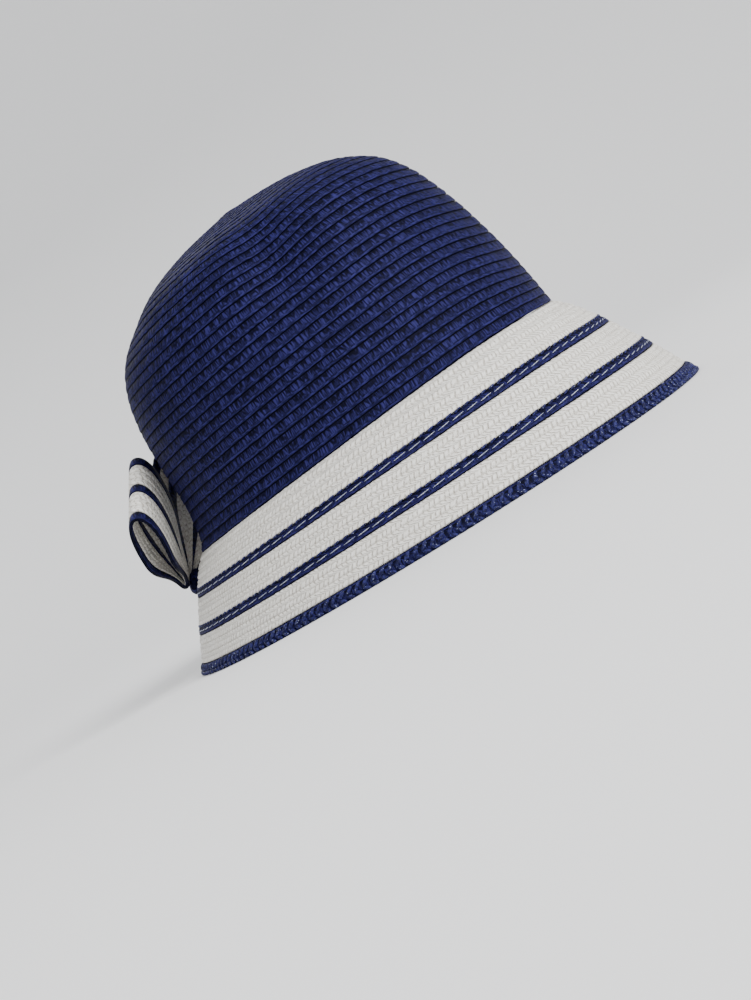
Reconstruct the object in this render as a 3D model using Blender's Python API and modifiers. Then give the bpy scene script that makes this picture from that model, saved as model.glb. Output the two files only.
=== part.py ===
"""Straw hat with a domed crown, a sloping striped brim and a loop bow at the back.

The wearer faces +X and the hat's right side is -Y. The rim lies on the plane z = 0
and the origin is the middle of the rim. All sizes are in metres.
"""
import math

import bmesh
import bpy
from mathutils import Matrix, Vector

# Head line: the oval where the brim is sewn to the crown
HEADLINE_LENGTH = 0.2045
HEADLINE_WIDTH = 0.166
HEADLINE_BACK = 0.0056

# Brim
RIM_LENGTH = 0.2750
RIM_WIDTH = 0.2385
BRIM_HEIGHT = 0.0573
FRONT_LIFT = 0.0086
FRONT_DIP = 0.0030
DIP_SHARPNESS = 6

# Crown
CROWN_HEIGHT = 0.1205

# Straw braid
WALL = 0.0020
EDGE_THICKNESS = 0.0028
GAP = 0.0003

# Dent that runs across the crown and down both of its shoulders
DENT_DEPTH = 0.0065

# Bow
BOW_STRIP_WIDTH = 0.0470
BOW_LOOP_LENGTH = 0.0610
BOW_LOOP_DEPTH = 0.0155
BOW_PINCHED_WIDTH = 0.0085
BOW_PINCHED_DEPTH = 0.0045
BOW_WALL = 0.0016
BOW_HEIGHT = 0.0308
BOW_STAND_OFF = 0.0085
BOW_KNOT_HALF_WIDTH = 0.0080
BOW_KNOT_HEIGHT = 0.0135
BOW_KNOT_THICKNESS = 0.0088
BOW_KNOT_RISE = 0.0057
BOW_KNOT_ROUNDING = 0.0022

# Directions of a bow loop, for the hat's left: out from the knot and across the strip
BOW_OUT = (0.27, 0.53, 0.80)
BOW_ACROSS = (0.02, -0.83, 0.55)

# How far out along a loop, as a share of its length, the strip has its full width
BOW_FULL_WIDTH_SHARE = 0.56

# How finely the ovals are divided
SIDES = 64
CROWN_RINGS = 20
BOW_SIDES = 28

NAVY = (0.012, 0.018, 0.060, 1.0)
WHITE = (0.78, 0.77, 0.73, 1.0)

# Brim section from the rim (rise 0) up to the head line (rise 1).
# reach is the share of the way out from the head line's oval to the rim's oval.
BRIM_SECTIONS = [
    {"rise": 0.00, "reach": 1.000},
    {"rise": 0.35, "reach": 0.714},
    {"rise": 0.70, "reach": 0.388},
    {"rise": 0.90, "reach": 0.165},
    {"rise": 1.00, "reach": 0.000},
]

# Crown sections from the head line to the tip. rise is a share of the crown's height,
# length and width are shares of the head line, back is how far the oval sits behind
# the head line's middle and lift how far its front is raised, as shares of half its length.
CROWN_SECTIONS = [
    {"rise": 0.000, "length": 1.000, "width": 1.000, "back": 0.000, "lift": 0.066},
    {"rise": 0.065, "length": 0.978, "width": 0.998, "back": -0.010, "lift": 0.072},
    {"rise": 0.210, "length": 0.953, "width": 0.980, "back": -0.005, "lift": 0.078},
    {"rise": 0.378, "length": 0.932, "width": 0.942, "back": 0.021, "lift": 0.081},
    {"rise": 0.545, "length": 0.898, "width": 0.892, "back": 0.049, "lift": 0.080},
    {"rise": 0.680, "length": 0.847, "width": 0.830, "back": 0.067, "lift": 0.076},
    {"rise": 0.795, "length": 0.762, "width": 0.742, "back": 0.078, "lift": 0.066},
    {"rise": 0.880, "length": 0.636, "width": 0.620, "back": 0.092, "lift": 0.052},
    {"rise": 0.932, "length": 0.499, "width": 0.420, "back": 0.107, "lift": 0.036},
    {"rise": 0.978, "length": 0.272, "width": 0.190, "back": 0.121, "lift": 0.018},
    {"rise": 0.996, "length": 0.078, "width": 0.040, "back": 0.133, "lift": 0.004},
]

# Dents in the crown. along, side and rise place the deepest point as shares of half the
# head line's length, of half its width and of the crown's height. The reach columns are
# how far it fades, as shares of the same sizes, and depth is a share of the dent's depth.
DENTS = [
    {"along": 0.19, "side": -0.80, "rise": 0.74, "reach_along": 0.17, "reach_side": 0.34,
     "reach_rise": 0.22, "depth": 1.00},
    {"along": 0.19, "side": 0.80, "rise": 0.74, "reach_along": 0.17, "reach_side": 0.34,
     "reach_rise": 0.22, "depth": 1.00},
    {"along": 0.06, "side": 0.00, "rise": 1.00, "reach_along": 0.16, "reach_side": 0.50,
     "reach_rise": 0.22, "depth": 0.17},
    {"along": -0.66, "side": 0.00, "rise": 0.83, "reach_along": 0.16, "reach_side": 0.50,
     "reach_rise": 0.16, "depth": 0.50},
]

# Bands of the brim from the rim up to the head line, in rows of braid
BRIM_BANDS = [
    {"name": "brim_edge", "rows": 1.3, "colour": "navy"},
    {"name": "brim_lower_band", "rows": 3.0, "colour": "white"},
    {"name": "brim_lower_stripe", "rows": 1.0, "colour": "navy"},
    {"name": "brim_middle_band", "rows": 3.0, "colour": "white"},
    {"name": "brim_upper_stripe", "rows": 1.0, "colour": "navy"},
    {"name": "brim_upper_band", "rows": 4.0, "colour": "white"},
]

# Bands across the bow's strip, from its lower to its upper edge, in rows of braid
BOW_BANDS = [
    {"name": "lower_edge", "rows": 1.0, "colour": "navy"},
    {"name": "lower_band", "rows": 2.5, "colour": "white"},
    {"name": "stripe", "rows": 1.0, "colour": "navy"},
    {"name": "upper_band", "rows": 2.5, "colour": "white"},
    {"name": "upper_edge", "rows": 1.0, "colour": "navy"},
]

# Outline of the knot from its foot to its peak. half_width is a share of the knot's half
# width and up is a share of its height, from the middle of the knot.
KNOT_SECTIONS = [
    {"half_width": 0.8, "up": -0.40},
    {"half_width": 1.0, "up": 0.10},
    {"half_width": 0.0, "up": 0.60},
]


def smooth_read(table, key, column, value):
    """Read a column of a section table at any value of its key column, as a smooth curve."""
    keys = [row[key] for row in table]
    data = [row[column] for row in table]
    last = len(keys) - 1
    value = min(max(value, keys[0]), keys[last])
    index = max(i for i in range(last) if keys[i] <= value)
    slopes = []
    for i in (index, index + 1):
        low = max(i - 1, 0)
        high = min(i + 1, last)
        slopes.append((data[high] - data[low]) / (keys[high] - keys[low]))
    span = keys[index + 1] - keys[index]
    t = (value - keys[index]) / span
    start = data[index] * (1 + 2 * t) * (1 - t) ** 2 + slopes[0] * span * t * (1 - t) ** 2
    end = data[index + 1] * t * t * (3 - 2 * t) + slopes[1] * span * t * t * (t - 1)
    return start + end


def brim_point(share, angle):
    """A point of the brim's upper face, share 0 at the rim and 1 at the head line."""
    rise = share
    reach = smooth_read(BRIM_SECTIONS, "rise", "reach", rise)
    half_length = (HEADLINE_LENGTH + reach * (RIM_LENGTH - HEADLINE_LENGTH)) / 2
    half_width = (HEADLINE_WIDTH + reach * (RIM_WIDTH - HEADLINE_WIDTH)) / 2
    lift = FRONT_LIFT * math.cos(angle) - front_dip(angle)
    return Vector((half_length * math.cos(angle) - HEADLINE_BACK * (1 - reach),
                   half_width * math.sin(angle), (BRIM_HEIGHT + lift) * rise))


def front_dip(angle):
    """How far the head line dips at the very front."""
    return FRONT_DIP * max(math.cos(angle), 0) ** DIP_SHARPNESS


def crown_point(step, angle):
    """A point of the crown's outer face. step runs evenly from 0 at the head line to 1 at
    the tip, through the rows of the section table."""
    place = step * (len(CROWN_SECTIONS) - 1)
    table = [dict(row, place=i) for i, row in enumerate(CROWN_SECTIONS)]
    rise, length, width, back, lift = (
        smooth_read(table, "place", column, place)
        for column in ("rise", "length", "width", "back", "lift"))
    half = HEADLINE_LENGTH / 2
    front_lift = FRONT_LIFT + (lift - CROWN_SECTIONS[0]["lift"]) * half
    middle = -half * back - HEADLINE_BACK
    height = BRIM_HEIGHT + CROWN_HEIGHT * rise - front_dip(angle) * (1 - rise)
    point = Vector((middle + half * length * math.cos(angle),
                    HEADLINE_WIDTH / 2 * width * math.sin(angle),
                    height + front_lift * math.cos(angle)))
    inward = Vector((middle, 0, BRIM_HEIGHT + CROWN_HEIGHT / 2)) - point
    inward.normalize()
    return point + inward * dent_depth(point)


def dent_depth(point):
    """How far the dents press the crown in at a point."""
    total = 0.0
    for dent in DENTS:
        along = (point.x + HEADLINE_BACK) / (HEADLINE_LENGTH / 2) - dent["along"]
        side = point.y / (HEADLINE_WIDTH / 2) - dent["side"]
        rise = (point.z - BRIM_HEIGHT) / CROWN_HEIGHT - dent["rise"]
        distance = ((along / dent["reach_along"]) ** 2 + (side / dent["reach_side"]) ** 2
                    + (rise / dent["reach_rise"]) ** 2)
        total += DENT_DEPTH * dent["depth"] * math.exp(-distance)
    return total


def make_material(name, colour, roughness):
    material = bpy.data.materials.new(name)
    material.use_nodes = True
    shader = material.node_tree.nodes["Principled BSDF"]
    shader.inputs["Base Color"].default_value = colour
    shader.inputs["Roughness"].default_value = roughness
    shader.inputs["Metallic"].default_value = 0.0
    return material


def add_object(name, mesh_builder, material, collection):
    mesh = bpy.data.meshes.new(name)
    bmesh.ops.recalc_face_normals(mesh_builder, faces=mesh_builder.faces)
    mesh_builder.to_mesh(mesh)
    mesh_builder.free()
    mesh.shade_smooth()
    mesh.set_sharp_from_angle(angle=math.radians(50))
    mesh.materials.append(material)
    piece = bpy.data.objects.new(name, mesh)
    collection.objects.link(piece)
    return piece


def add_ring(mesh_builder, points):
    return [mesh_builder.verts.new(point) for point in points]


def bridge(mesh_builder, lower, upper):
    """Join two closed rings of vertices with four-sided faces."""
    count = len(lower)
    for i in range(count):
        j = (i + 1) % count
        mesh_builder.faces.new((lower[i], lower[j], upper[j], upper[i]))


def oval_angles():
    return [2 * math.pi * i / SIDES for i in range(SIDES)]


def surface_normal(surface, level, angle):
    """The outward normal of a surface given as a function of level and angle."""
    nudge = 1e-4
    low = max(level - nudge, 0)
    high = min(level + nudge, 1)
    around = surface(level, angle + nudge) - surface(level, angle - nudge)
    up = surface(high, angle) - surface(low, angle)
    return around.cross(up).normalized()


def brim_slope_length():
    rim_to_headline = Vector(((RIM_LENGTH - HEADLINE_LENGTH) / 2, BRIM_HEIGHT))
    return rim_to_headline.length


def make_brim_band(name, low, high, proud, material, collection):
    """A closed band of the brim between two shares of its slope. proud is how far it
    stands out of the wall on each face."""
    builder = bmesh.new()
    rows = []
    levels = (low, (low + high) / 2, high)
    for level in levels:
        outer = []
        inner = []
        for angle in oval_angles():
            point = brim_point(level, angle)
            normal = surface_normal(brim_point, level, angle)
            outer.append(point + normal * proud)
            inner.append(point - normal * (WALL + proud))
        rows.append((outer, inner))
    if low == 0:
        for points in rows[0]:
            for point in points:
                point.z = 0
    outer_rings = [add_ring(builder, outer) for outer, inner in rows]
    inner_rings = [add_ring(builder, inner) for outer, inner in rows]
    loop = outer_rings + inner_rings[::-1]
    for i in range(len(loop)):
        bridge(builder, loop[i], loop[(i + 1) % len(loop)])
    return add_object(name, builder, material, collection)


def make_brim(materials, collection):
    row_count = sum(band["rows"] for band in BRIM_BANDS)
    half_gap = GAP / 2 / brim_slope_length()
    edge_proud = (EDGE_THICKNESS - WALL) / 2
    row = 0
    for band in BRIM_BANDS:
        is_edge = row == 0
        low = 0 if is_edge else row / row_count + half_gap
        row += band["rows"]
        high = row / row_count - half_gap
        proud = edge_proud if is_edge else 0
        make_brim_band(band["name"], low, high, proud, materials[band["colour"]], collection)


def make_crown(materials, collection):
    """The crown is a dome of one wall, open at the head line."""
    builder = bmesh.new()
    first_rise = CROWN_SECTIONS[1]["rise"] * (len(CROWN_SECTIONS) - 1)
    foot = GAP / (CROWN_HEIGHT * first_rise)
    outer_rings = []
    inner_rings = []
    for i in range(CROWN_RINGS):
        step = foot + (1 - foot) * i / (CROWN_RINGS - 1)
        outer = []
        inner = []
        for angle in oval_angles():
            point = crown_point(step, angle)
            normal = surface_normal(crown_point, step, angle)
            outer.append(point)
            inner.append(point - normal * WALL)
        outer_rings.append(add_ring(builder, outer))
        inner_rings.append(add_ring(builder, inner))
    # The inner rings stop where the ovals are too small to hold the wall's thickness
    inner_rings = inner_rings[:-1]
    for rings in (outer_rings, inner_rings):
        for lower, upper in zip(rings, rings[1:]):
            bridge(builder, lower, upper)
        tip = sum((vertex.co for vertex in rings[-1]), Vector()) / SIDES
        centre = builder.verts.new(tip)
        for i in range(SIDES):
            builder.faces.new((rings[-1][i], rings[-1][(i + 1) % SIDES], centre))
    bridge(builder, outer_rings[0], inner_rings[0])
    return add_object("crown", builder, materials["navy"], collection)


def bow_axes(side):
    """The directions of a bow loop: out from the knot, off its face, and across the
    strip. side is -1 for the hat's right and 1 for its left."""
    mirror = Matrix.Diagonal((1, side, 1))
    out = (mirror @ Vector(BOW_OUT)).normalized()
    across = mirror @ Vector(BOW_ACROSS)
    across = (across - out * across.dot(out)).normalized()
    face = out.cross(across) * side
    return out, face, across


def brim_slope_at_back():
    """The brim's back at the bow's height: its point, its slope upwards and its normal."""
    share = BOW_HEIGHT / (BRIM_HEIGHT - FRONT_LIFT)
    point = brim_point(share, math.pi)
    normal = surface_normal(brim_point, share, math.pi)
    slope = Vector((0, 1, 0)).cross(normal)
    if slope.z < 0:
        slope.negate()
    return point, slope, normal


def bow_centre():
    """Where the two loops meet, in the middle of the knot."""
    point, slope, normal = brim_slope_at_back()
    return point + normal * BOW_STAND_OFF


def bow_section(side, turn, shrink):
    """The middle of the loop's strip and the strip's width at one turn angle. shrink is
    how far inside the strip's outer face the point lies."""
    out, face, across = bow_axes(side)
    share = (1 - math.cos(turn)) / 2
    depth = BOW_PINCHED_DEPTH + (BOW_LOOP_DEPTH - BOW_PINCHED_DEPTH) * share
    along = BOW_KNOT_HALF_WIDTH + shrink + (BOW_LOOP_LENGTH - 2 * shrink) * share
    lateral = (depth / 2 - shrink) * math.sin(turn)
    ease = min(share / BOW_FULL_WIDTH_SHARE, 1)
    ease = ease * ease * (3 - 2 * ease)
    width = BOW_PINCHED_WIDTH + (BOW_STRIP_WIDTH - BOW_PINCHED_WIDTH) * ease
    return bow_centre() + out * along + face * lateral, width, across


def make_bow_loop(side, name, materials, collection):
    """A strip of braid that goes out from the knot, turns over and comes back, made as
    the bands that lie side by side across it."""
    row_count = sum(band["rows"] for band in BOW_BANDS)
    turns = [2 * math.pi * i / BOW_SIDES for i in range(BOW_SIDES)]
    row = 0
    for band in BOW_BANDS:
        low = row / row_count
        row += band["rows"]
        high = row / row_count
        builder = bmesh.new()
        rings = []
        for share, trim, shrink in ((low, GAP / 2, 0), (high, -GAP / 2, 0),
                                    (high, -GAP / 2, BOW_WALL), (low, GAP / 2, BOW_WALL)):
            points = []
            for turn in turns:
                middle, width, across = bow_section(side, turn, shrink)
                points.append(middle + across * ((share - 0.5) * width + trim))
            rings.append(add_ring(builder, points))
        for i in range(len(rings)):
            bridge(builder, rings[i], rings[(i + 1) % len(rings)])
        add_object(f"{name}_{band['name']}", builder, materials[band["colour"]], collection)


def make_bow_knot(materials, collection):
    """The folded strip that holds the two loops, with a shoulder under each of them. It
    stands on the brim, tilted with the brim's slope."""
    point, slope, normal = brim_slope_at_back()
    right_side = [(BOW_KNOT_HALF_WIDTH * row["half_width"], BOW_KNOT_HEIGHT * row["up"])
                  for row in KNOT_SECTIONS]
    left_side = [(-across, up) for across, up in right_side if across > 0]
    outline = right_side + left_side[::-1]
    curve = bpy.data.curves.new("bow_knot", "CURVE")
    curve.dimensions = "2D"
    curve.fill_mode = "BOTH"
    curve.extrude = BOW_KNOT_THICKNESS / 2
    spline = curve.splines.new("POLY")
    spline.points.add(len(outline) - 1)
    for corner, (across, up) in zip(spline.points, outline):
        corner.co = (across, up, 0, 1)
    spline.use_cyclic_u = True
    knot = bpy.data.objects.new("bow_knot", curve)
    collection.objects.link(knot)
    middle = point + normal * (GAP + BOW_KNOT_THICKNESS / 2) + slope * BOW_KNOT_RISE
    knot.matrix_world = Matrix((
        (0, slope.x, normal.x, middle.x),
        (-1, slope.y, normal.y, middle.y),
        (0, slope.z, normal.z, middle.z),
        (0, 0, 0, 1)))
    curve.materials.append(materials["navy"])
    weld = knot.modifiers.new("Weld", "WELD")
    weld.merge_threshold = 0.00001
    bevel = knot.modifiers.new("Bevel", "BEVEL")
    bevel.width = BOW_KNOT_ROUNDING
    bevel.segments = 3
    return knot


def main():
    for item in list(bpy.data.objects):
        bpy.data.objects.remove(item)
    collection = bpy.data.collections.new("straw_hat")
    bpy.context.scene.collection.children.link(collection)
    materials = {
        "navy": make_material("navy_straw", NAVY, 0.55),
        "white": make_material("white_straw", WHITE, 0.60),
    }
    make_crown(materials, collection)
    make_brim(materials, collection)
    make_bow_loop(-1, "bow_right", materials, collection)
    make_bow_loop(1, "bow_left", materials, collection)
    make_bow_knot(materials, collection)


main()
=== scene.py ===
# %% [markdown]
# # A straw hat in sewn braid
# The hat is sewn from one long narrow braid of flat straw. The rows overlap like roof tiles, so each
# row's lower edge stands proud and throws a fine shadow, which is built as a real lip and also painted
# dark into the straw's colour. The crown is dark blue, the brim is white with two blue stripes and a
# plaited blue edge, and a bow of the same braid sits at the back.
#
# The solids give the sizes and the outline. They could be left smooth with a bumpy material, but the
# rows show in the outline and in the shadows, so every wall is built again here as real rows.

# %% Load the frame
import math

import bmesh
import bpy
import numpy as np
from mathutils import Matrix, Vector


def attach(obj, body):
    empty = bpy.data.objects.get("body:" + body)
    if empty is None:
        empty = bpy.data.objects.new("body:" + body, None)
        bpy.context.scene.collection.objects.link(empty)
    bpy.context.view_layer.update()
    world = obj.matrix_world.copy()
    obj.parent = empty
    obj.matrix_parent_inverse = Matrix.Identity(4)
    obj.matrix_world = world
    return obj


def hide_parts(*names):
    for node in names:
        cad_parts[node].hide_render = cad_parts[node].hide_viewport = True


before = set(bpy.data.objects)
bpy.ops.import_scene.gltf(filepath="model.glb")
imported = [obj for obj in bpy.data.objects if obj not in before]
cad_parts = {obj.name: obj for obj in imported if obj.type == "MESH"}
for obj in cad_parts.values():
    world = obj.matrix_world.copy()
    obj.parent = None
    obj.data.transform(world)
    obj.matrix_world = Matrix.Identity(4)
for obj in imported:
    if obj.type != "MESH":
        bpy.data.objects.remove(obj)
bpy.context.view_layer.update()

# %% [markdown]
# ## The camera
# The hat is seen from its right side, turned a little to its front, from just above the table and from
# about a metre. The camera leans over, so the hat's front rises to the right of the picture. It could be
# aimed with a constraint, but a fixed matrix built from a few named angles is plain to read.

# %% Camera
CAMERA_DISTANCE = 1.0584
CAMERA_TURN = math.radians(15.45)
CAMERA_RISE = math.radians(0.24)
CAMERA_ROLL = math.radians(31.95)
LOOK_AT = Vector((0, 0, 0.0577))
FOCAL_SHARE = 2.246
AIM_RIGHT = 0.0073
AIM_UP = 0.0813

back = Vector((math.sin(CAMERA_TURN) * math.cos(CAMERA_RISE),
               -math.cos(CAMERA_TURN) * math.cos(CAMERA_RISE), math.sin(CAMERA_RISE)))
level_right = Vector((math.cos(CAMERA_TURN), math.sin(CAMERA_TURN), 0))
level_up = back.cross(level_right)
right = level_right * math.cos(CAMERA_ROLL) - level_up * math.sin(CAMERA_ROLL)
up = level_right * math.sin(CAMERA_ROLL) + level_up * math.cos(CAMERA_ROLL)
aim = Vector((0, 0, 1)).rotation_difference(Vector((AIM_RIGHT, AIM_UP, FOCAL_SHARE))).to_matrix()
right, up, forward = (aim @ Matrix((right, up, -back))).row

camera_data = bpy.data.cameras.new("camera")
camera_data.sensor_width = 36
camera_data.lens = FOCAL_SHARE * camera_data.sensor_width
camera_data.clip_start = 0.01
camera = bpy.data.objects.new("camera", camera_data)
turn = Matrix((right, up, -forward)).transposed().to_4x4()
camera.matrix_world = Matrix.Translation(LOOK_AT + CAMERA_DISTANCE * back) @ turn
bpy.context.scene.collection.objects.link(camera)
bpy.context.scene.camera = camera
print("camera is", round(1000 * camera.matrix_world.translation.z), "mm above the floor")

# %% [markdown]
# ## Shader maths as Python
# A material is a tree of small nodes. Wiring them one by one is slow to read, so a Wire stands for one
# socket and knows how to add, multiply and compare. An expression such as 1 - mask adds its own nodes.

# %% Wires and benches
class Wire:
    """The output of a node, ready for more maths."""

    def __init__(self, bench, socket):
        self.bench = bench
        self.socket = socket

    def math(self, operation, *values):
        sockets = dict(enumerate((self, *values)))
        return self.bench.node("ShaderNodeMath", {"operation": operation}, sockets)

    def __add__(self, other):
        return self.math("ADD", other)

    def __radd__(self, other):
        return self.math("ADD", other)

    def __sub__(self, other):
        return self.math("SUBTRACT", other)

    def __rsub__(self, other):
        return self.bench.node("ShaderNodeMath", {"operation": "SUBTRACT"}, {0: other, 1: self})

    def __mul__(self, other):
        return self.math("MULTIPLY", other)

    def __rmul__(self, other):
        return self.math("MULTIPLY", other)

    def fraction(self):
        return self.math("FRACT")

    def floor(self):
        return self.math("FLOOR")

    def step(self, low, high):
        """0 below low, 1 above high and smooth between them."""
        return self.bench.node("ShaderNodeMapRange", {"interpolation_type": "SMOOTHSTEP"},
                               {"Value": self, "From Min": low, "From Max": high})


class Bench:
    """A material and the one method that adds its nodes."""

    def __init__(self, name):
        self.material = bpy.data.materials.new(name)
        self.material.use_nodes = True
        self.tree = self.material.node_tree
        self.shader = self.tree.nodes["Principled BSDF"]

    def node(self, kind, settings=None, sockets=None, out=0):
        node = self.tree.nodes.new(kind)
        for key, value in (settings or {}).items():
            setattr(node, key, value)
        for key, value in (sockets or {}).items():
            self.feed(node.inputs[key], value)
        return Wire(self, node.outputs[out])

    def feed(self, socket, value):
        if isinstance(value, Wire):
            self.tree.links.new(value.socket, socket)
        else:
            socket.default_value = value

    def mix(self, share, first, second):
        """Mix two colours. share 0 gives the first and 1 the second."""
        return self.node("ShaderNodeMix", {"data_type": "RGBA"},
                         {0: share, 6: first, 7: second}, out=2)

    def noise(self, where, scale, detail=2.0, kind="3D"):
        return self.node("ShaderNodeTexNoise", {"noise_dimensions": kind},
                         {"Vector": where, "Scale": scale, "Detail": detail})

    def place(self, x, y, z=0.0):
        return self.node("ShaderNodeCombineXYZ", {}, {"X": x, "Y": y, "Z": z})


# %% [markdown]
# ## The hat's form
# A hat is blocked: the sewn braid is pressed over a wooden form. The same idea works in code. The form
# is the solids' own surface, given by two short tables of ovals, and every wall is first made as a plain
# tube of rows, then each of its points is moved onto the form at the same height and angle.

# %% The form's tables
HEADLINE_LENGTH = 0.2045
HEADLINE_WIDTH = 0.166
HEADLINE_BACK = 0.0056
RIM_LENGTH = 0.2750
RIM_WIDTH = 0.2385
BRIM_HEIGHT = 0.0573
FRONT_LIFT = 0.0086
FRONT_DIP = 0.0030
DIP_SHARPNESS = 6
CROWN_HEIGHT = 0.1205
WALL = 0.0020
DENT_DEPTH = 0.0065

BRIM_SECTIONS = [
    {"rise": 0.00, "reach": 1.000},
    {"rise": 0.35, "reach": 0.714},
    {"rise": 0.70, "reach": 0.388},
    {"rise": 0.90, "reach": 0.165},
    {"rise": 1.00, "reach": 0.000},
]
CROWN_SECTIONS = [
    {"rise": 0.000, "length": 1.000, "width": 1.000, "back": 0.000, "lift": 0.066},
    {"rise": 0.065, "length": 0.978, "width": 0.998, "back": -0.010, "lift": 0.072},
    {"rise": 0.210, "length": 0.953, "width": 0.980, "back": -0.005, "lift": 0.078},
    {"rise": 0.378, "length": 0.932, "width": 0.942, "back": 0.021, "lift": 0.081},
    {"rise": 0.545, "length": 0.898, "width": 0.892, "back": 0.049, "lift": 0.080},
    {"rise": 0.680, "length": 0.847, "width": 0.830, "back": 0.067, "lift": 0.076},
    {"rise": 0.795, "length": 0.762, "width": 0.742, "back": 0.078, "lift": 0.066},
    {"rise": 0.880, "length": 0.636, "width": 0.620, "back": 0.092, "lift": 0.052},
    {"rise": 0.932, "length": 0.499, "width": 0.420, "back": 0.107, "lift": 0.036},
    {"rise": 0.978, "length": 0.272, "width": 0.190, "back": 0.121, "lift": 0.018},
    {"rise": 0.996, "length": 0.078, "width": 0.040, "back": 0.133, "lift": 0.004},
]
DENTS = [
    {"along": 0.19, "side": -0.80, "rise": 0.74, "reach_along": 0.17, "reach_side": 0.34,
     "reach_rise": 0.22, "depth": 1.00},
    {"along": 0.19, "side": 0.80, "rise": 0.74, "reach_along": 0.17, "reach_side": 0.34,
     "reach_rise": 0.22, "depth": 1.00},
    {"along": 0.06, "side": 0.00, "rise": 1.00, "reach_along": 0.16, "reach_side": 0.50,
     "reach_rise": 0.22, "depth": 0.17},
    {"along": -0.66, "side": 0.00, "rise": 0.83, "reach_along": 0.16, "reach_side": 0.50,
     "reach_rise": 0.16, "depth": 0.50},
]


def smooth_read(keys, data, value):
    """Read a table's column at many values at once, as a smooth curve."""
    keys = np.array(keys, float)
    data = np.array(data, float)
    value = np.clip(value, keys[0], keys[-1])
    index = np.clip(np.searchsorted(keys, value, side="right") - 1, 0, len(keys) - 2)
    low = np.maximum(np.arange(len(keys)) - 1, 0)
    high = np.minimum(np.arange(len(keys)) + 1, len(keys) - 1)
    slope = (data[high] - data[low]) / (keys[high] - keys[low])
    span = keys[index + 1] - keys[index]
    t = (value - keys[index]) / span
    start = data[index] * (1 + 2 * t) * (1 - t) ** 2 + slope[index] * span * t * (1 - t) ** 2
    end = data[index + 1] * t * t * (3 - 2 * t) + slope[index + 1] * span * t * t * (t - 1)
    return start + end


def front_dip(angle):
    """How far the head line dips at the very front."""
    return FRONT_DIP * np.maximum(np.cos(angle), 0) ** DIP_SHARPNESS


def brim_form(level, angle):
    """Points of the brim's outer face, level 0 at the rim and 1 at the head line."""
    reach = smooth_read([row["rise"] for row in BRIM_SECTIONS],
                        [row["reach"] for row in BRIM_SECTIONS], level)
    half_length = (HEADLINE_LENGTH + reach * (RIM_LENGTH - HEADLINE_LENGTH)) / 2
    half_width = (HEADLINE_WIDTH + reach * (RIM_WIDTH - HEADLINE_WIDTH)) / 2
    height = BRIM_HEIGHT + FRONT_LIFT * np.cos(angle) - front_dip(angle)
    return np.stack([half_length * np.cos(angle) - HEADLINE_BACK * (1 - reach),
                     half_width * np.sin(angle), height * level], axis=-1)


def crown_form(level, angle):
    """Points of the crown's outer face, level 0 at the head line and 1 at the tip."""
    place = np.arange(len(CROWN_SECTIONS))
    rise, length, width, behind, lift = (
        smooth_read(place, [row[column] for row in CROWN_SECTIONS], level * place[-1])
        for column in ("rise", "length", "width", "back", "lift"))
    half = HEADLINE_LENGTH / 2
    front_lift = FRONT_LIFT + (lift - CROWN_SECTIONS[0]["lift"]) * half
    middle = -half * behind - HEADLINE_BACK
    height = BRIM_HEIGHT + CROWN_HEIGHT * rise - front_dip(angle) * (1 - rise)
    point = np.stack([middle + half * length * np.cos(angle),
                      HEADLINE_WIDTH / 2 * width * np.sin(angle),
                      height + front_lift * np.cos(angle)], axis=-1)
    heart = np.stack([middle, 0 * middle, 0 * middle + BRIM_HEIGHT + CROWN_HEIGHT / 2], axis=-1)
    inward = heart - point
    inward /= np.linalg.norm(inward, axis=-1, keepdims=True)
    depth = 0
    for dent in DENTS:
        along = (point[..., 0] + HEADLINE_BACK) / (HEADLINE_LENGTH / 2) - dent["along"]
        side = point[..., 1] / (HEADLINE_WIDTH / 2) - dent["side"]
        up_by = (point[..., 2] - BRIM_HEIGHT) / CROWN_HEIGHT - dent["rise"]
        distance = ((along / dent["reach_along"]) ** 2 + (side / dent["reach_side"]) ** 2
                    + (up_by / dent["reach_rise"]) ** 2)
        depth = depth + DENT_DEPTH * dent["depth"] * np.exp(-distance)
    return point + inward * depth[..., None]


def normals_of(form, level, angle):
    """Outward directions of a form, from the way its points move."""
    nudge = 1e-3
    around = form(level, angle + nudge) - form(level, angle - nudge)
    upward = form(np.minimum(level + nudge, 1), angle) - form(np.maximum(level - nudge, 0), angle)
    normal = np.cross(around, upward)
    return normal / np.linalg.norm(normal, axis=-1, keepdims=True)


def even_levels(form):
    """A table that turns a distance up the wall into a level of the form."""
    levels = np.linspace(0, 1, 400)
    sides = [form(levels, np.full(400, angle)) for angle in (0.0, math.pi / 2, math.pi)]
    steps = np.mean([np.linalg.norm(np.diff(side, axis=0), axis=-1) for side in sides], axis=0)
    return levels, np.concatenate([[0], np.cumsum(steps)])


BRIM_LEVELS = even_levels(brim_form)
CROWN_LEVELS = even_levels(crown_form)
BRIM_ROWS = 13.3
CROWN_ROWS = 34
BRIM_ROW = BRIM_LEVELS[1][-1] / BRIM_ROWS
CROWN_ROW = CROWN_LEVELS[1][-1] / CROWN_ROWS
print("a row is", round(1000 * BRIM_ROW, 2), "mm on the brim and", round(1000 * CROWN_ROW, 2), "mm on the crown")

# %% [markdown]
# ## Rows of braid
# One row's section is a short chain of points: a lip that hangs over the row below, a body and an upper
# edge that slips under the next row. The chain repeats up the wall, and one spin turns it into a plain
# tube with all its rows. The tube is then pressed onto the form, as the sewn hat is on its block. Small
# seeded wobbles keep the rows from looking machined.

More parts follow.
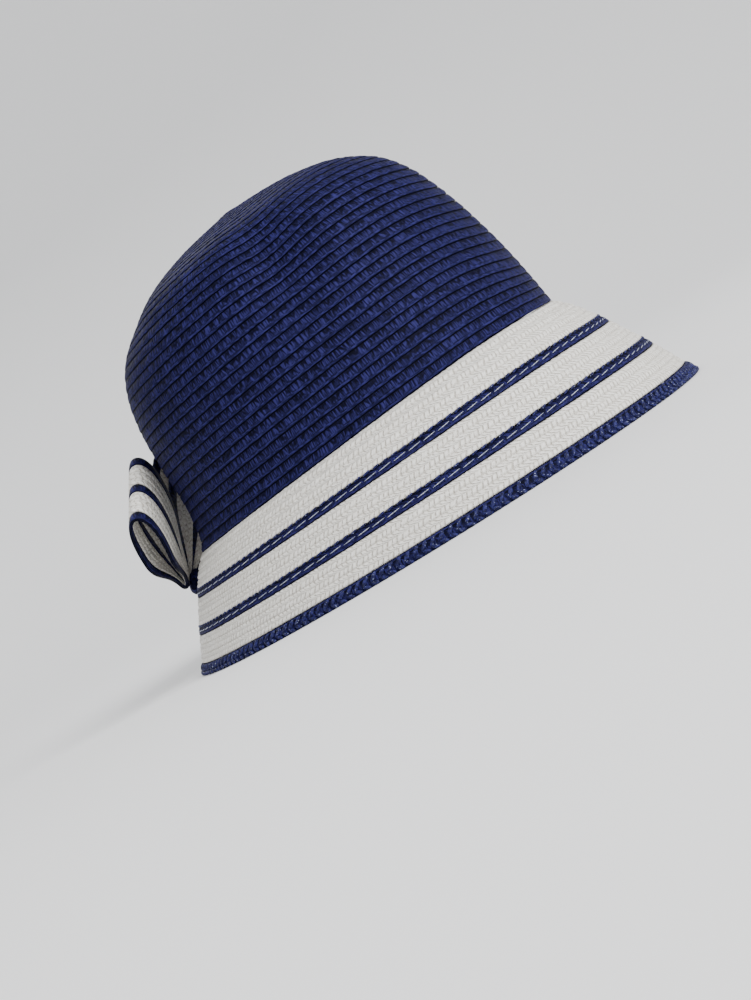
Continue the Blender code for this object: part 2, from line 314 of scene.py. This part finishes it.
# %% Sections and pressing
NAVY_SECTION = [
    {"up": 0.03, "proud": -0.80},
    {"up": 0.00, "proud": -0.22},
    {"up": 0.07, "proud": 0.05},
    {"up": 0.32, "proud": 0.11},
    {"up": 0.62, "proud": 0.06},
    {"up": 0.90, "proud": -0.10},
]
WHITE_SECTION = [
    {"up": 0.03, "proud": -0.45},
    {"up": 0.06, "proud": 0.00},
    {"up": 0.27, "proud": 0.20},
    {"up": 0.50, "proud": 0.02},
    {"up": 0.74, "proud": 0.14},
    {"up": 0.96, "proud": -0.22},
]
INNER_SECTION = [
    {"up": 0.08, "proud": 0.25},
    {"up": 0.70, "proud": -0.05},
]
TUBE_RADIUS = 0.1
MM = 0.001


def row_chain(section, first, count, depth):
    """The points of some rows' section, as (rows up the wall, distance off the form)."""
    chain = []
    for row in range(count):
        for point in section:
            chain.append((first + row + point["up"], (point["proud"] + depth) * MM))
    return chain


def wall_chain(section, first, count, thickness, tucked=False):
    """The section of a whole wall, up its outer face and down its inner one. A tucked wall ends
    in a thin tongue that slips under the next piece."""
    outer = row_chain(section, first, count, 0)
    inner = row_chain(INNER_SECTION, first, count, -thickness / MM)
    if tucked:
        outer.append((first + count + 0.12, -0.95 * MM))
        inner.append((first + count + 0.12, -1.5 * MM))
    return outer + inner[::-1]


def spin_rows(chain, sides, closed=True):
    """Spin a wall's section once round into a plain tube."""
    builder = bmesh.new()
    verts = [builder.verts.new((TUBE_RADIUS + off, 0, up)) for up, off in chain]
    pairs = list(zip(verts, verts[1:]))
    if closed:
        pairs.append((verts[-1], verts[0]))
    edges = [builder.edges.new(pair) for pair in pairs]
    bmesh.ops.spin(builder, geom=verts + edges, cent=(0, 0, 0), axis=(0, 0, 1),
                   angle=2 * math.pi, steps=sides, use_merge=True)
    return builder


def wobble(rows, angle, seed):
    """A gentle wander for each row, the same on every point of that row."""
    random = np.random.default_rng(seed)
    count = int(rows.max()) + 2
    total = np.zeros(len(rows))
    for waves in (5, 11, 19, 31):
        phase = random.uniform(0, 2 * math.pi, count)[rows]
        total += np.sin(waves * angle + phase) * random.uniform(0.3, 1.0, count)[rows]
    return total / 4


def lay_out(mesh, angle, up, along, shift):
    """Give each face's corners their place along the braid in millimetres and across it in rows."""
    corner = np.empty(len(mesh.loops), np.int32)
    mesh.loops.foreach_get("vertex_index", corner)
    start = np.empty(len(mesh.polygons), np.int32)
    total = np.empty(len(mesh.polygons), np.int32)
    mesh.polygons.foreach_get("loop_start", start)
    mesh.polygons.foreach_get("loop_total", total)
    first = np.repeat(angle[corner[start]], total)
    turn = angle[corner]
    turn = turn - 2 * math.pi * np.round((turn - first) / (2 * math.pi))
    layout = np.stack([along(turn, up[corner]) / MM, up[corner] - shift], axis=-1)
    layer = mesh.uv_layers.new(name="braid")
    layer.data.foreach_set("uv", layout.ravel().astype(np.float32))


def no_sag(up, angle):
    return 0.0


def press(name, builder, surface, seed, wander=0.14, rough=0.08):
    """Turn a plain tube of rows into a mesh pressed onto a surface."""
    bmesh.ops.recalc_face_normals(builder, faces=builder.faces)
    mesh = bpy.data.meshes.new(name)
    builder.to_mesh(mesh)
    builder.free()
    flat = np.empty(3 * len(mesh.vertices))
    mesh.vertices.foreach_get("co", flat)
    flat = flat.reshape(-1, 3)
    angle = np.arctan2(flat[:, 1], flat[:, 0])
    off = np.hypot(flat[:, 0], flat[:, 1]) - TUBE_RADIUS
    up = flat[:, 2]
    lay_out(mesh, angle, up, surface["along"], surface.get("shift", 0))
    rows = np.maximum(np.floor(up - surface.get("shift", 0) + 1e-6), 0).astype(int)
    random = np.random.default_rng(seed)
    up = up + wobble(rows, angle, seed) * wander * MM / surface["row"]
    up = up - surface.get("sag", no_sag)(up, angle)
    off = off + wobble(rows, angle, seed + 1) * 0.5 * wander * MM
    off = off + random.normal(0, rough * MM, len(off)) * (off > -MM)
    level = surface["level"](up)
    point = surface["form"](level, angle) + normals_of(surface["form"], level, angle) * off[:, None]
    mesh.vertices.foreach_set("co", point.ravel())
    mesh.update()
    return mesh


def finish_piece(mesh, material, slot, *nodes):
    """Close a mesh into a finished object that rides on the hat and stands for its solids."""
    builder = bmesh.new()
    builder.from_mesh(mesh)
    bmesh.ops.recalc_face_normals(builder, faces=builder.faces)
    builder.to_mesh(mesh)
    builder.free()
    mesh.shade_smooth()
    mesh.materials.append(material)
    piece = bpy.data.objects.new(mesh.name, mesh)
    bpy.context.scene.collection.objects.link(piece)
    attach(piece, "root")
    if nodes:
        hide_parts(*nodes)
    print(mesh.name, "has", sum(len(face.vertices) - 2 for face in mesh.polygons), "triangles")
    return piece


# %% [markdown]
# ## Straw, as materials
# Flat straw is a thin ribbon about half a millimetre wide. In the dark braid short ribbons stand across
# the row in small groups with slits between them, and longer ones lie slanting along its lower edge. The
# white braid is softer, two courses of slanting loops in each row. The materials read the row's own
# layout: u in millimetres along the braid, v in rows across it. Shade is painted into both straws: dark
# grooves under each lip, dark slits, notches and dashed gaps in the blue, and shaded beige gaps between
# the white loops. The blue strands are also painted lighter where they stand up and darker between them.

# %% Straw materials
def braid_layout(bench):
    """The place along the braid, the row's number and the place across the row."""
    layout = bench.node("ShaderNodeUVMap", {"uv_map": "braid"})
    along = bench.node("ShaderNodeSeparateXYZ", {}, {0: layout}, out=0)
    across = bench.node("ShaderNodeSeparateXYZ", {}, {0: layout}, out=1)
    return along, across


def bumped(bench, height, strength, depth):
    return bench.node("ShaderNodeBump", {}, {"Height": height, "Strength": strength, "Distance": depth})


def make_navy_straw():
    bench = Bench("navy_straw_rows")
    along, across = braid_layout(bench)
    row = across.floor()
    part = across.fraction()
    lean = bench.noise(bench.place(along * 0.12, row * 3.7), 1.0, 1.0) - 0.5
    upright = along + part * lean * 2.5
    strands = bench.noise(bench.place(upright * 2.0, row * 11.3, part * 0.9), 1.0, 2.0)
    cells = bench.node("ShaderNodeTexVoronoi", {"feature": "DISTANCE_TO_EDGE", "voronoi_dimensions": "2D"},
                       {"Vector": bench.place(upright * 0.42, row * 5.31 + part * 0.5), "Scale": 1.0})
    lip = 1 - part.step(0.20, 0.30)
    # Painted shade: the slits between the groups of strands are darkened in the colour, wider towards the row's
    # top.
    slit_shade = (1 - (cells - part * 0.20 + 0.09).step(0.02, 0.11)) * (1 - lip)
    slanting = bench.noise(bench.place(along * 0.40 + part * 2.2, row * 7.7, part * 8.0), 1.0, 2.0)
    weave = strands * (1 - lip) + slanting * lip
    # Painted shadow: a near-black line along the groove between rows, where each row's lip overhangs the row
    # below.
    groove_shadow = (1 - part.step(0.0, 0.08)) + part.step(0.84, 0.96)
    dashes = bench.noise(bench.place(along * 0.5, row * 2.3), 1.0, 1.0).step(0.40, 0.58)
    # Painted shade: a dashed dark line of gaps just above the lip.
    dashed_gap_shade = part.step(0.23, 0.28) * (1 - part.step(0.31, 0.37)) * dashes
    # Painted shade: small dark notches between the strands near the row's top edge.
    notch_shade = part.step(0.58, 0.84) * (1 - strands.step(0.42, 0.54))
    slit_shade = (slit_shade * (part.step(0.25, 0.65) * 0.55 + 0.3)).math("MAXIMUM", notch_shade * 0.95)
    # All the painted shade in one mask. It darkens the colour to a near-black blue and also sinks the bump.
    painted_shade = groove_shadow.math("MAXIMUM", slit_shade.math("MAXIMUM", dashed_gap_shade * 0.75))
    # Partly the straw's own tone and partly painted light: the colour is lighter where the strands stand up and
    # darker between them, following the same pattern as the bump.
    colour = bench.mix(weave.step(0.40, 0.68), (0.0068, 0.0068, 0.034, 1), (0.0230, 0.0222, 0.110, 1))
    colour = bench.mix(painted_shade, colour, (0.0012, 0.0015, 0.005, 1))
    bench.feed(bench.shader.inputs["Base Color"], colour)
    bench.feed(bench.shader.inputs["Normal"], bumped(bench, weave * 0.6 - painted_shade * 0.9, 0.7, 0.0004))
    bench.feed(bench.shader.inputs["Roughness"], weave * 0.2 + 0.48)
    bench.shader.inputs["Specular IOR Level"].default_value = 0.05
    return bench.material


def make_white_straw():
    bench = Bench("white_straw_rows")
    along, across = braid_layout(bench)
    course = (across * 2.0).floor()
    part = (across * 2.0).fraction()
    lean = (course * 0.5).fraction() * 4.0 - 1.0
    drift = bench.noise(bench.place(along * 0.12, course * 5.3), 1.0, 1.0)
    slanted = along * 0.40 + part * lean * 0.55 + drift * 1.4 + course * 0.37
    loop = (slanted.fraction() - 0.5).math("ABSOLUTE") * 2.0
    rib = (part - 0.5).math("ABSOLUTE") * 2.0
    strands = bench.noise(bench.place(slanted * 5.5, course * 9.1, part * 0.8), 1.0, 2.0)
    # Painted shade: the gaps between the slanting loops and between the two courses are darkened to a shaded
    # beige.
    gap_shade = loop.step(0.50, 0.98).math("MAXIMUM", rib.step(0.62, 1.0) * 0.55)
    fuzz = bench.noise(bench.place(along * 0.9, across * 5.0), 1.0, 2.0)
    gap_shade = gap_shade * fuzz.step(0.25, 0.60)
    colour = bench.mix(strands.step(0.35, 0.65), (0.755, 0.728, 0.668, 1), (0.89, 0.872, 0.826, 1))
    colour = bench.mix(gap_shade * 0.85, colour, (0.43, 0.385, 0.32, 1))
    height = strands * 0.35 - gap_shade
    bench.feed(bench.shader.inputs["Base Color"], colour)
    bench.feed(bench.shader.inputs["Normal"], bumped(bench, height, 0.85, 0.0005))
    bench.feed(bench.shader.inputs["Roughness"], strands * 0.2 + 0.42)
    bench.shader.inputs["Specular IOR Level"].default_value = 0.4
    return bench.material


def make_cord(name, dark, light, fleck, fleck_share):
    """Rounded strands, streaked along their length, with a few pale fibres."""
    bench = Bench(name)
    place = bench.node("ShaderNodeTexCoord", out=3)
    streaks = bench.noise(place, 900.0, 3.0)
    fibres = bench.noise(place, 1500.0, 1.0).step(1 - fleck_share, 1.03 - fleck_share)
    colour = bench.mix(streaks.step(0.38, 0.66), dark, light)
    colour = bench.mix(fibres, colour, fleck)
    bench.feed(bench.shader.inputs["Base Color"], colour)
    bench.feed(bench.shader.inputs["Normal"], bumped(bench, streaks, 0.5, 0.0004))
    bench.shader.inputs["Roughness"].default_value = 0.5
    bench.shader.inputs["Specular IOR Level"].default_value = 0.12
    return bench.material


navy_straw = make_navy_straw()
white_straw = make_white_straw()
plait_straw = make_cord("navy_plait", (0.0074, 0.0078, 0.036, 1), (0.0245, 0.0262, 0.120, 1),
                        (0.26, 0.29, 0.42, 1), 0.32)
thread = make_cord("pale_thread", (0.26, 0.29, 0.38, 1), (0.46, 0.49, 0.57, 1),
                   (0.66, 0.66, 0.68, 1), 0.40)
print("four materials: two straws, the plait and the thread")

# %% [markdown]
# ## The crown
# The crown starts at the tip and is sewn outwards in rows that grow into ovals, down to the head line.
# It is made in three parts, because the rows near the tip are short and need fewer sides.

# %% Crown
def row_lengths(form, levels, row_height):
    """A function that gives the place along a row, for a turn angle and a height in rows."""
    heights = np.linspace(0, levels[1][-1], 80)
    angles = np.linspace(0, 2 * math.pi, 91)
    lengths = []
    for height in heights:
        level = np.interp(height, levels[1], levels[0])
        points = form(np.full(91, level), angles)
        lengths.append(np.linalg.norm(np.diff(points, axis=0), axis=-1).sum())

    def along(turn, up):
        row = np.floor(up + 1e-4)
        return turn / (2 * math.pi) * np.interp(row * row_height, heights, lengths)
    return along


def hat_surface(form, levels, row, shift=0.0):
    return {"form": form, "row": row, "shift": shift, "along": row_lengths(form, levels, row),
            "level": lambda up: np.interp(up * row, levels[1], levels[0])}


SAG_ROWS = 1.0
SAG_SHARPNESS = 9


def crown_sag(up, angle):
    """How many rows' height the crown's rows sag at the front. The head line doesn't."""
    swell = np.clip(up / 5, 0, 1) * np.clip((CROWN_ROWS - up) / 12, 0, 1)
    return SAG_ROWS * swell * np.maximum(np.cos(angle), 0) ** SAG_SHARPNESS


CROWN_PARTS = [
    {"name": "crown_side_rows", "first": 0, "rows": 12, "sides": 620},
    {"name": "crown_shoulder_rows", "first": 12, "rows": 12, "sides": 560},
    {"name": "crown_tip_rows", "first": 24, "rows": 10, "sides": 420},
]
crown_surface = hat_surface(crown_form, CROWN_LEVELS, CROWN_ROW)
crown_surface["sag"] = crown_sag
for part in CROWN_PARTS:
    is_tip = part["first"] + part["rows"] == CROWN_ROWS
    chain = wall_chain(NAVY_SECTION, part["first"], part["rows"], WALL, tucked=not is_tip)
    if is_tip:
        half = len(NAVY_SECTION) * part["rows"]
        chain = chain[half:] + chain[:half]
    builder = spin_rows(chain, part["sides"], closed=not is_tip)
    if is_tip:
        holes = [edge for edge in builder.edges if edge.is_boundary]
        bmesh.ops.holes_fill(builder, edges=holes, sides=0)
    mesh = press(part["name"], builder, crown_surface, seed=part["first"])
    nodes = ["crown"] if part["first"] == 0 else []
    finish_piece(mesh, navy_straw, "navy_straw", *nodes)

# %% [markdown]
# ## The brim
# The brim is sewn on below the head line in the same rows: white, with one blue row after every third
# or fourth white one. Each stripe's upper edge is serrated where its loops lie over the white, and a
# pale running stitch holds it. The rim is bound with a thick plait. Loops, stitches and strands are all
# small ovals, laid in rings round the plain tube before it is pressed. They could be particles on a
# surface, but a ring of ovals keeps the count and the spacing exact.

# %% Brim
BRIM_PARTS = [
    {"name": "brim_lower_band", "first": 1.3, "rows": 3, "straw": "white"},
    {"name": "brim_lower_stripe", "first": 4.3, "rows": 1, "straw": "navy"},
    {"name": "brim_middle_band", "first": 5.3, "rows": 3, "straw": "white"},
    {"name": "brim_upper_stripe", "first": 8.3, "rows": 1, "straw": "navy"},
    {"name": "brim_upper_band", "first": 9.3, "rows": 4, "straw": "white"},
]
BRIM_SIDES = 760
STRIPE_LOOPS = [
    {"up": 0.93, "off": 0.05, "spacing": 4.5, "length": 3.6, "height": 1.0, "thick": 0.9, "tilt": 14},
]
RUNNING_STITCH = [
    {"up": 0.43, "off": 0.24, "spacing": 7.3, "length": 6.5, "height": 0.32, "thick": 0.5, "tilt": 6},
]
EDGE_CHAIN = [(0.14, -0.7), (0.22, -0.3), (0.40, 0.10), (0.75, 0.20), (1.12, 0.0), (1.27, -0.5),
              (1.27, -1.7), (0.85, -2.5), (0.55, -2.5), (0.36, -1.9)]
EDGE_STRANDS = [
    {"up": 0.24, "off": 0.25, "spacing": 4.1, "length": 3.8, "height": 1.9, "thick": 1.8, "tilt": -24},
    {"up": 0.77, "off": 0.15, "spacing": 4.1, "length": 5.4, "height": 2.0, "thick": 1.8, "tilt": 44},
    {"up": 0.62, "off": -2.5, "spacing": 4.1, "length": 3.4, "height": 1.7, "thick": 1.3, "tilt": 24},
    {"up": 0.98, "off": -2.4, "spacing": 4.1, "length": 4.4, "height": 1.8, "thick": 1.3, "tilt": -44},
]


def rings_of_ovals(rings, first, surface):
    """Small ovals in rings round the plain tube. Their sizes are in millimetres."""
    builder = bmesh.new()
    for ring in rings:
        up = first + ring["up"]
        length = surface["along"](2 * math.pi, up) / MM
        count = round(length / ring["spacing"])
        to_tube = Matrix.Diagonal((MM, 2 * math.pi * TUBE_RADIUS / length, MM / surface["row"], 1))
        size = Matrix.Diagonal((ring["thick"] / 2, ring["length"] / 2, ring["height"] / 2, 1))
        place = (Matrix.Translation((TUBE_RADIUS + ring["off"] * MM, 0, up)) @ to_tube
                 @ Matrix.Rotation(math.radians(ring["tilt"]), 4, "X") @ size
                 @ Matrix.Rotation(math.pi / 2, 4, "X"))
        oval = bmesh.ops.create_uvsphere(builder, u_segments=7, v_segments=6, radius=1, matrix=place)
        faces = list({face for vert in oval["verts"] for face in vert.link_faces})
        bmesh.ops.spin(builder, geom=oval["verts"] + faces, cent=(0, 0, 0), axis=(0, 0, 1),
                       angle=2 * math.pi * (count - 1) / count, steps=count - 1, use_duplicate=True)
    return builder


for part in BRIM_PARTS:
    surface = hat_surface(brim_form, BRIM_LEVELS, BRIM_ROW, part["first"])
    is_navy = part["straw"] == "navy"
    section = NAVY_SECTION if is_navy else WHITE_SECTION
    builder = spin_rows(wall_chain(section, part["first"], part["rows"], WALL), BRIM_SIDES)
    mesh = press(part["name"] + "_rows", builder, surface, seed=50 + int(part["first"]))
    finish_piece(mesh, navy_straw if is_navy else white_straw, part["straw"] + "_straw", part["name"])
    if is_navy:
        builder = rings_of_ovals(STRIPE_LOOPS, part["first"], surface)
        mesh = press(part["name"] + "_loops", builder, surface, seed=61, rough=0)
        finish_piece(mesh, plait_straw, "navy_straw")
        builder = rings_of_ovals(RUNNING_STITCH, part["first"], surface)
        mesh = press(part["name"] + "_stitches", builder, surface, seed=63, rough=0)
        finish_piece(mesh, thread, "white_straw")

edge_surface = hat_surface(brim_form, BRIM_LEVELS, BRIM_ROW)
builder = spin_rows([(up, off * MM) for up, off in EDGE_CHAIN], BRIM_SIDES)
mesh = press("brim_edge_core", builder, edge_surface, seed=70, wander=0, rough=0)
finish_piece(mesh, navy_straw, "navy_straw", "brim_edge")
builder = rings_of_ovals(EDGE_STRANDS, 0, edge_surface)
mesh = press("brim_edge_plait", builder, edge_surface, seed=72, wander=0.05, rough=0)
finish_piece(mesh, plait_straw, "navy_straw")

# %% [markdown]
# ## The bow
# A flat strip of the same braid, navy at both edges and along its middle, turns over into a loop on
# each side. It is gathered in at the knot, so shallow pleats run out from there. The loops are tubes of
# rows too, pressed onto a form that narrows to the knot.

# %% Bow
BOW_STRIP_WIDTH = 0.0470
BOW_LOOP_LENGTH = 0.0610
BOW_LOOP_DEPTH = 0.0155
BOW_PINCHED_WIDTH = 0.0085
BOW_PINCHED_DEPTH = 0.0045
BOW_WALL = 0.0016
BOW_HEIGHT = 0.0308
BOW_STAND_OFF = 0.0085
BOW_KNOT_HALF_WIDTH = 0.0080
BOW_KNOT_HEIGHT = 0.0135
BOW_KNOT_THICKNESS = 0.0088
BOW_KNOT_RISE = 0.0057
BOW_OUT = (0.27, 0.53, 0.80)
BOW_ACROSS = (0.02, -0.83, 0.55)
BOW_FULL_WIDTH_SHARE = 0.56
PLEAT_DEPTH = 0.0006
PLEATS = 3
BOW_LOOP_SIDES = 160
BOW_PARTS = [
    {"name": "lower_edge", "share": 1.0, "rows": 1, "straw": "navy"},
    {"name": "lower_band", "share": 2.5, "rows": 3, "straw": "white"},
    {"name": "stripe", "share": 1.0, "rows": 1, "straw": "navy"},
    {"name": "upper_band", "share": 2.5, "rows": 3, "straw": "white"},
    {"name": "upper_edge", "share": 1.0, "rows": 1, "straw": "navy"},
]


def bow_axes(side):
    """Out from the knot, off the loop's face and across the strip, for side -1 or 1."""
    mirror = Matrix.Diagonal((1, side, 1))
    out = (mirror @ Vector(BOW_OUT)).normalized()
    across = mirror @ Vector(BOW_ACROSS)
    across = (across - out * across.dot(out)).normalized()
    return np.array(out), np.array(out.cross(across) * side), np.array(across)


def brim_back(off, rise):
    """A point off the brim's back at the bow's height, with the brim's slope and its normal."""
    level = np.array([BOW_HEIGHT / (BRIM_HEIGHT - FRONT_LIFT)])
    angle = np.array([math.pi])
    point = brim_form(level, angle)[0]
    normal = normals_of(brim_form, level, angle)[0]
    slope = np.cross((0, 1, 0), normal)
    return point + normal * off + slope * rise, slope, normal


def bow_form(side):
    out, face, across = bow_axes(side)
    centre = brim_back(BOW_STAND_OFF, 0)[0]

    def form(level, angle):
        share = (1 - np.cos(angle)) / 2
        ease = np.minimum(share / BOW_FULL_WIDTH_SHARE, 1)
        ease = ease * ease * (3 - 2 * ease)
        depth = BOW_PINCHED_DEPTH + (BOW_LOOP_DEPTH - BOW_PINCHED_DEPTH) * share
        pleat = PLEAT_DEPTH * (1 - ease) * np.cos(PLEATS * 2 * math.pi * level)
        lateral = (depth / 2 + pleat) * np.sin(angle)
        width = BOW_PINCHED_WIDTH + (BOW_STRIP_WIDTH - BOW_PINCHED_WIDTH) * ease
        along = BOW_KNOT_HALF_WIDTH + BOW_LOOP_LENGTH * share
        return (centre + out * along[..., None] + face * lateral[..., None]
                + across * ((level - 0.5) * width)[..., None])
    return form


def strip_places(form):
    """A function that gives the place along the strip for a turn angle."""
    angles = np.linspace(-math.pi, 2 * math.pi, 361)
    points = form(np.full(361, 0.5), angles)
    steps = np.linalg.norm(np.diff(points, axis=0), axis=-1)
    places = np.concatenate([[0], np.cumsum(steps)])
    return lambda turn, up: np.interp(turn, angles, places)


for side, word in ((-1, "right"), (1, "left")):
    form = bow_form(side)
    low = 0.0
    for band in BOW_PARTS:
        share = band["share"] / sum(other["share"] for other in BOW_PARTS)
        surface = {"form": form, "row": BOW_STRIP_WIDTH * share / band["rows"], "along": strip_places(form),
                   "level": lambda up, low=low, share=share, rows=band["rows"]: low + share * up / rows}
        is_navy = band["straw"] == "navy"
        section = NAVY_SECTION if is_navy else WHITE_SECTION
        chain = row_chain(section, 0, band["rows"], 0)
        back = [(up, -BOW_WALL - off) for up, off in chain]
        builder = spin_rows(chain + back[::-1], BOW_LOOP_SIDES)
        node = f"bow_{word}_{band['name']}"
        mesh = press(node + "_rows", builder, surface, seed=80 + len(node), wander=0.05, rough=0.05)
        finish_piece(mesh, navy_straw if is_navy else white_straw, band["straw"] + "_straw", node)
        low += share

# %% [markdown]
# ## The knot
# A short folded strip goes round both loops where they meet. Seen from behind it is a small rounded
# shield of two rows.

# %% Knot
KNOT_ROUNDNESS = 0.75


def knot_form(level, angle):
    middle, slope, normal = brim_back(0.0003 + BOW_KNOT_THICKNESS / 2, BOW_KNOT_RISE)
    swell = np.sin(math.pi * np.clip(level, 0.04, 0.96)) ** 0.35
    off = np.sign(np.cos(angle)) * np.abs(np.cos(angle)) ** KNOT_ROUNDNESS * BOW_KNOT_THICKNESS / 2
    rise = np.sin(angle) * BOW_KNOT_HEIGHT / 2
    across = (level - 0.5) * 2 * BOW_KNOT_HALF_WIDTH * (0.92 - 0.25 * np.maximum(np.sin(angle), 0))
    return (middle + normal * (off * swell)[..., None] + slope * (rise * swell)[..., None]
            + np.array([0, 1.0, 0]) * across[..., None])


knot_surface = {"form": knot_form, "row": BOW_KNOT_HALF_WIDTH * 2 / 3, "along": strip_places(knot_form),
                "level": lambda up: up / 3}
chain = row_chain(NAVY_SECTION, 0, 3, -0.4)
builder = spin_rows(chain, 64, closed=False)
bmesh.ops.holes_fill(builder, edges=[edge for edge in builder.edges if edge.is_boundary], sides=0)
mesh = press("bow_knot_folds", builder, knot_surface, seed=95, wander=0.05, rough=0.05)
finish_piece(mesh, navy_straw, "navy_straw", "bow_knot")

# %% [markdown]
# ## The studio
# A pale floor that curves up into a pale wall all round has no corner, so no line shows behind the hat.
# The light is one large soft lamp from the hat's front and above, a weaker one from behind and an even
# glow from the room.

# %% Studio
FLOOR_RADIUS = 1.25
COVE_RADIUS = 3.0
COVE_TURN = math.radians(75)
builder = bmesh.new()
profile = [(0.001, 0), (FLOOR_RADIUS, 0)]
for share in range(1, 25):
    bend = COVE_TURN * share / 24
    profile.append((FLOOR_RADIUS + COVE_RADIUS * math.sin(bend), COVE_RADIUS * (1 - math.cos(bend))))
verts = [builder.verts.new((x, 0, z)) for x, z in profile]
edges = [builder.edges.new(pair) for pair in zip(verts, verts[1:])]
bmesh.ops.spin(builder, geom=verts + edges, cent=(0, 0, 0), axis=(0, 0, 1), angle=2 * math.pi,
               steps=96, use_merge=True)
bmesh.ops.holes_fill(builder, edges=[edge for edge in builder.edges if edge.is_boundary
                                     and edge.verts[0].co.z == 0], sides=0)
bmesh.ops.recalc_face_normals(builder, faces=builder.faces)
floor_mesh = bpy.data.meshes.new("floor")
builder.to_mesh(floor_mesh)
builder.free()
floor_mesh.shade_smooth()
floor_bench = Bench("pale_floor")
floor_bench.feed(floor_bench.shader.inputs["Base Color"], (0.92, 0.92, 0.92, 1))
floor_bench.feed(floor_bench.shader.inputs["Roughness"], 0.95)
floor_mesh.materials.append(floor_bench.material)
floor = bpy.data.objects.new("floor", floor_mesh)
bpy.context.scene.collection.objects.link(floor)


def soft_lamp(name, place, size, power):
    """A square lamp that faces the hat."""
    lamp_data = bpy.data.lights.new(name, "AREA")
    lamp_data.size = size
    lamp_data.energy = power
    lamp = bpy.data.objects.new(name, lamp_data)
    lamp.location = place
    lamp.rotation_mode = "QUATERNION"
    lamp.rotation_quaternion = (Vector(place) - LOOK_AT).to_track_quat("Z", "Y")
    bpy.context.scene.collection.objects.link(lamp)


soft_lamp("key_lamp", (1.8, -1.2, 1.7), 1.3, 86)
soft_lamp("back_lamp", (-1.2, 1.6, 1.8), 1.6, 16)
world = bpy.data.worlds.new("room")
world.use_nodes = True
world.node_tree.nodes["Background"].inputs["Color"].default_value = (0.86, 0.87, 0.89, 1)
world.node_tree.nodes["Background"].inputs["Strength"].default_value = 0.88
bpy.context.scene.world = world
print("floor, two lamps and the room's glow")
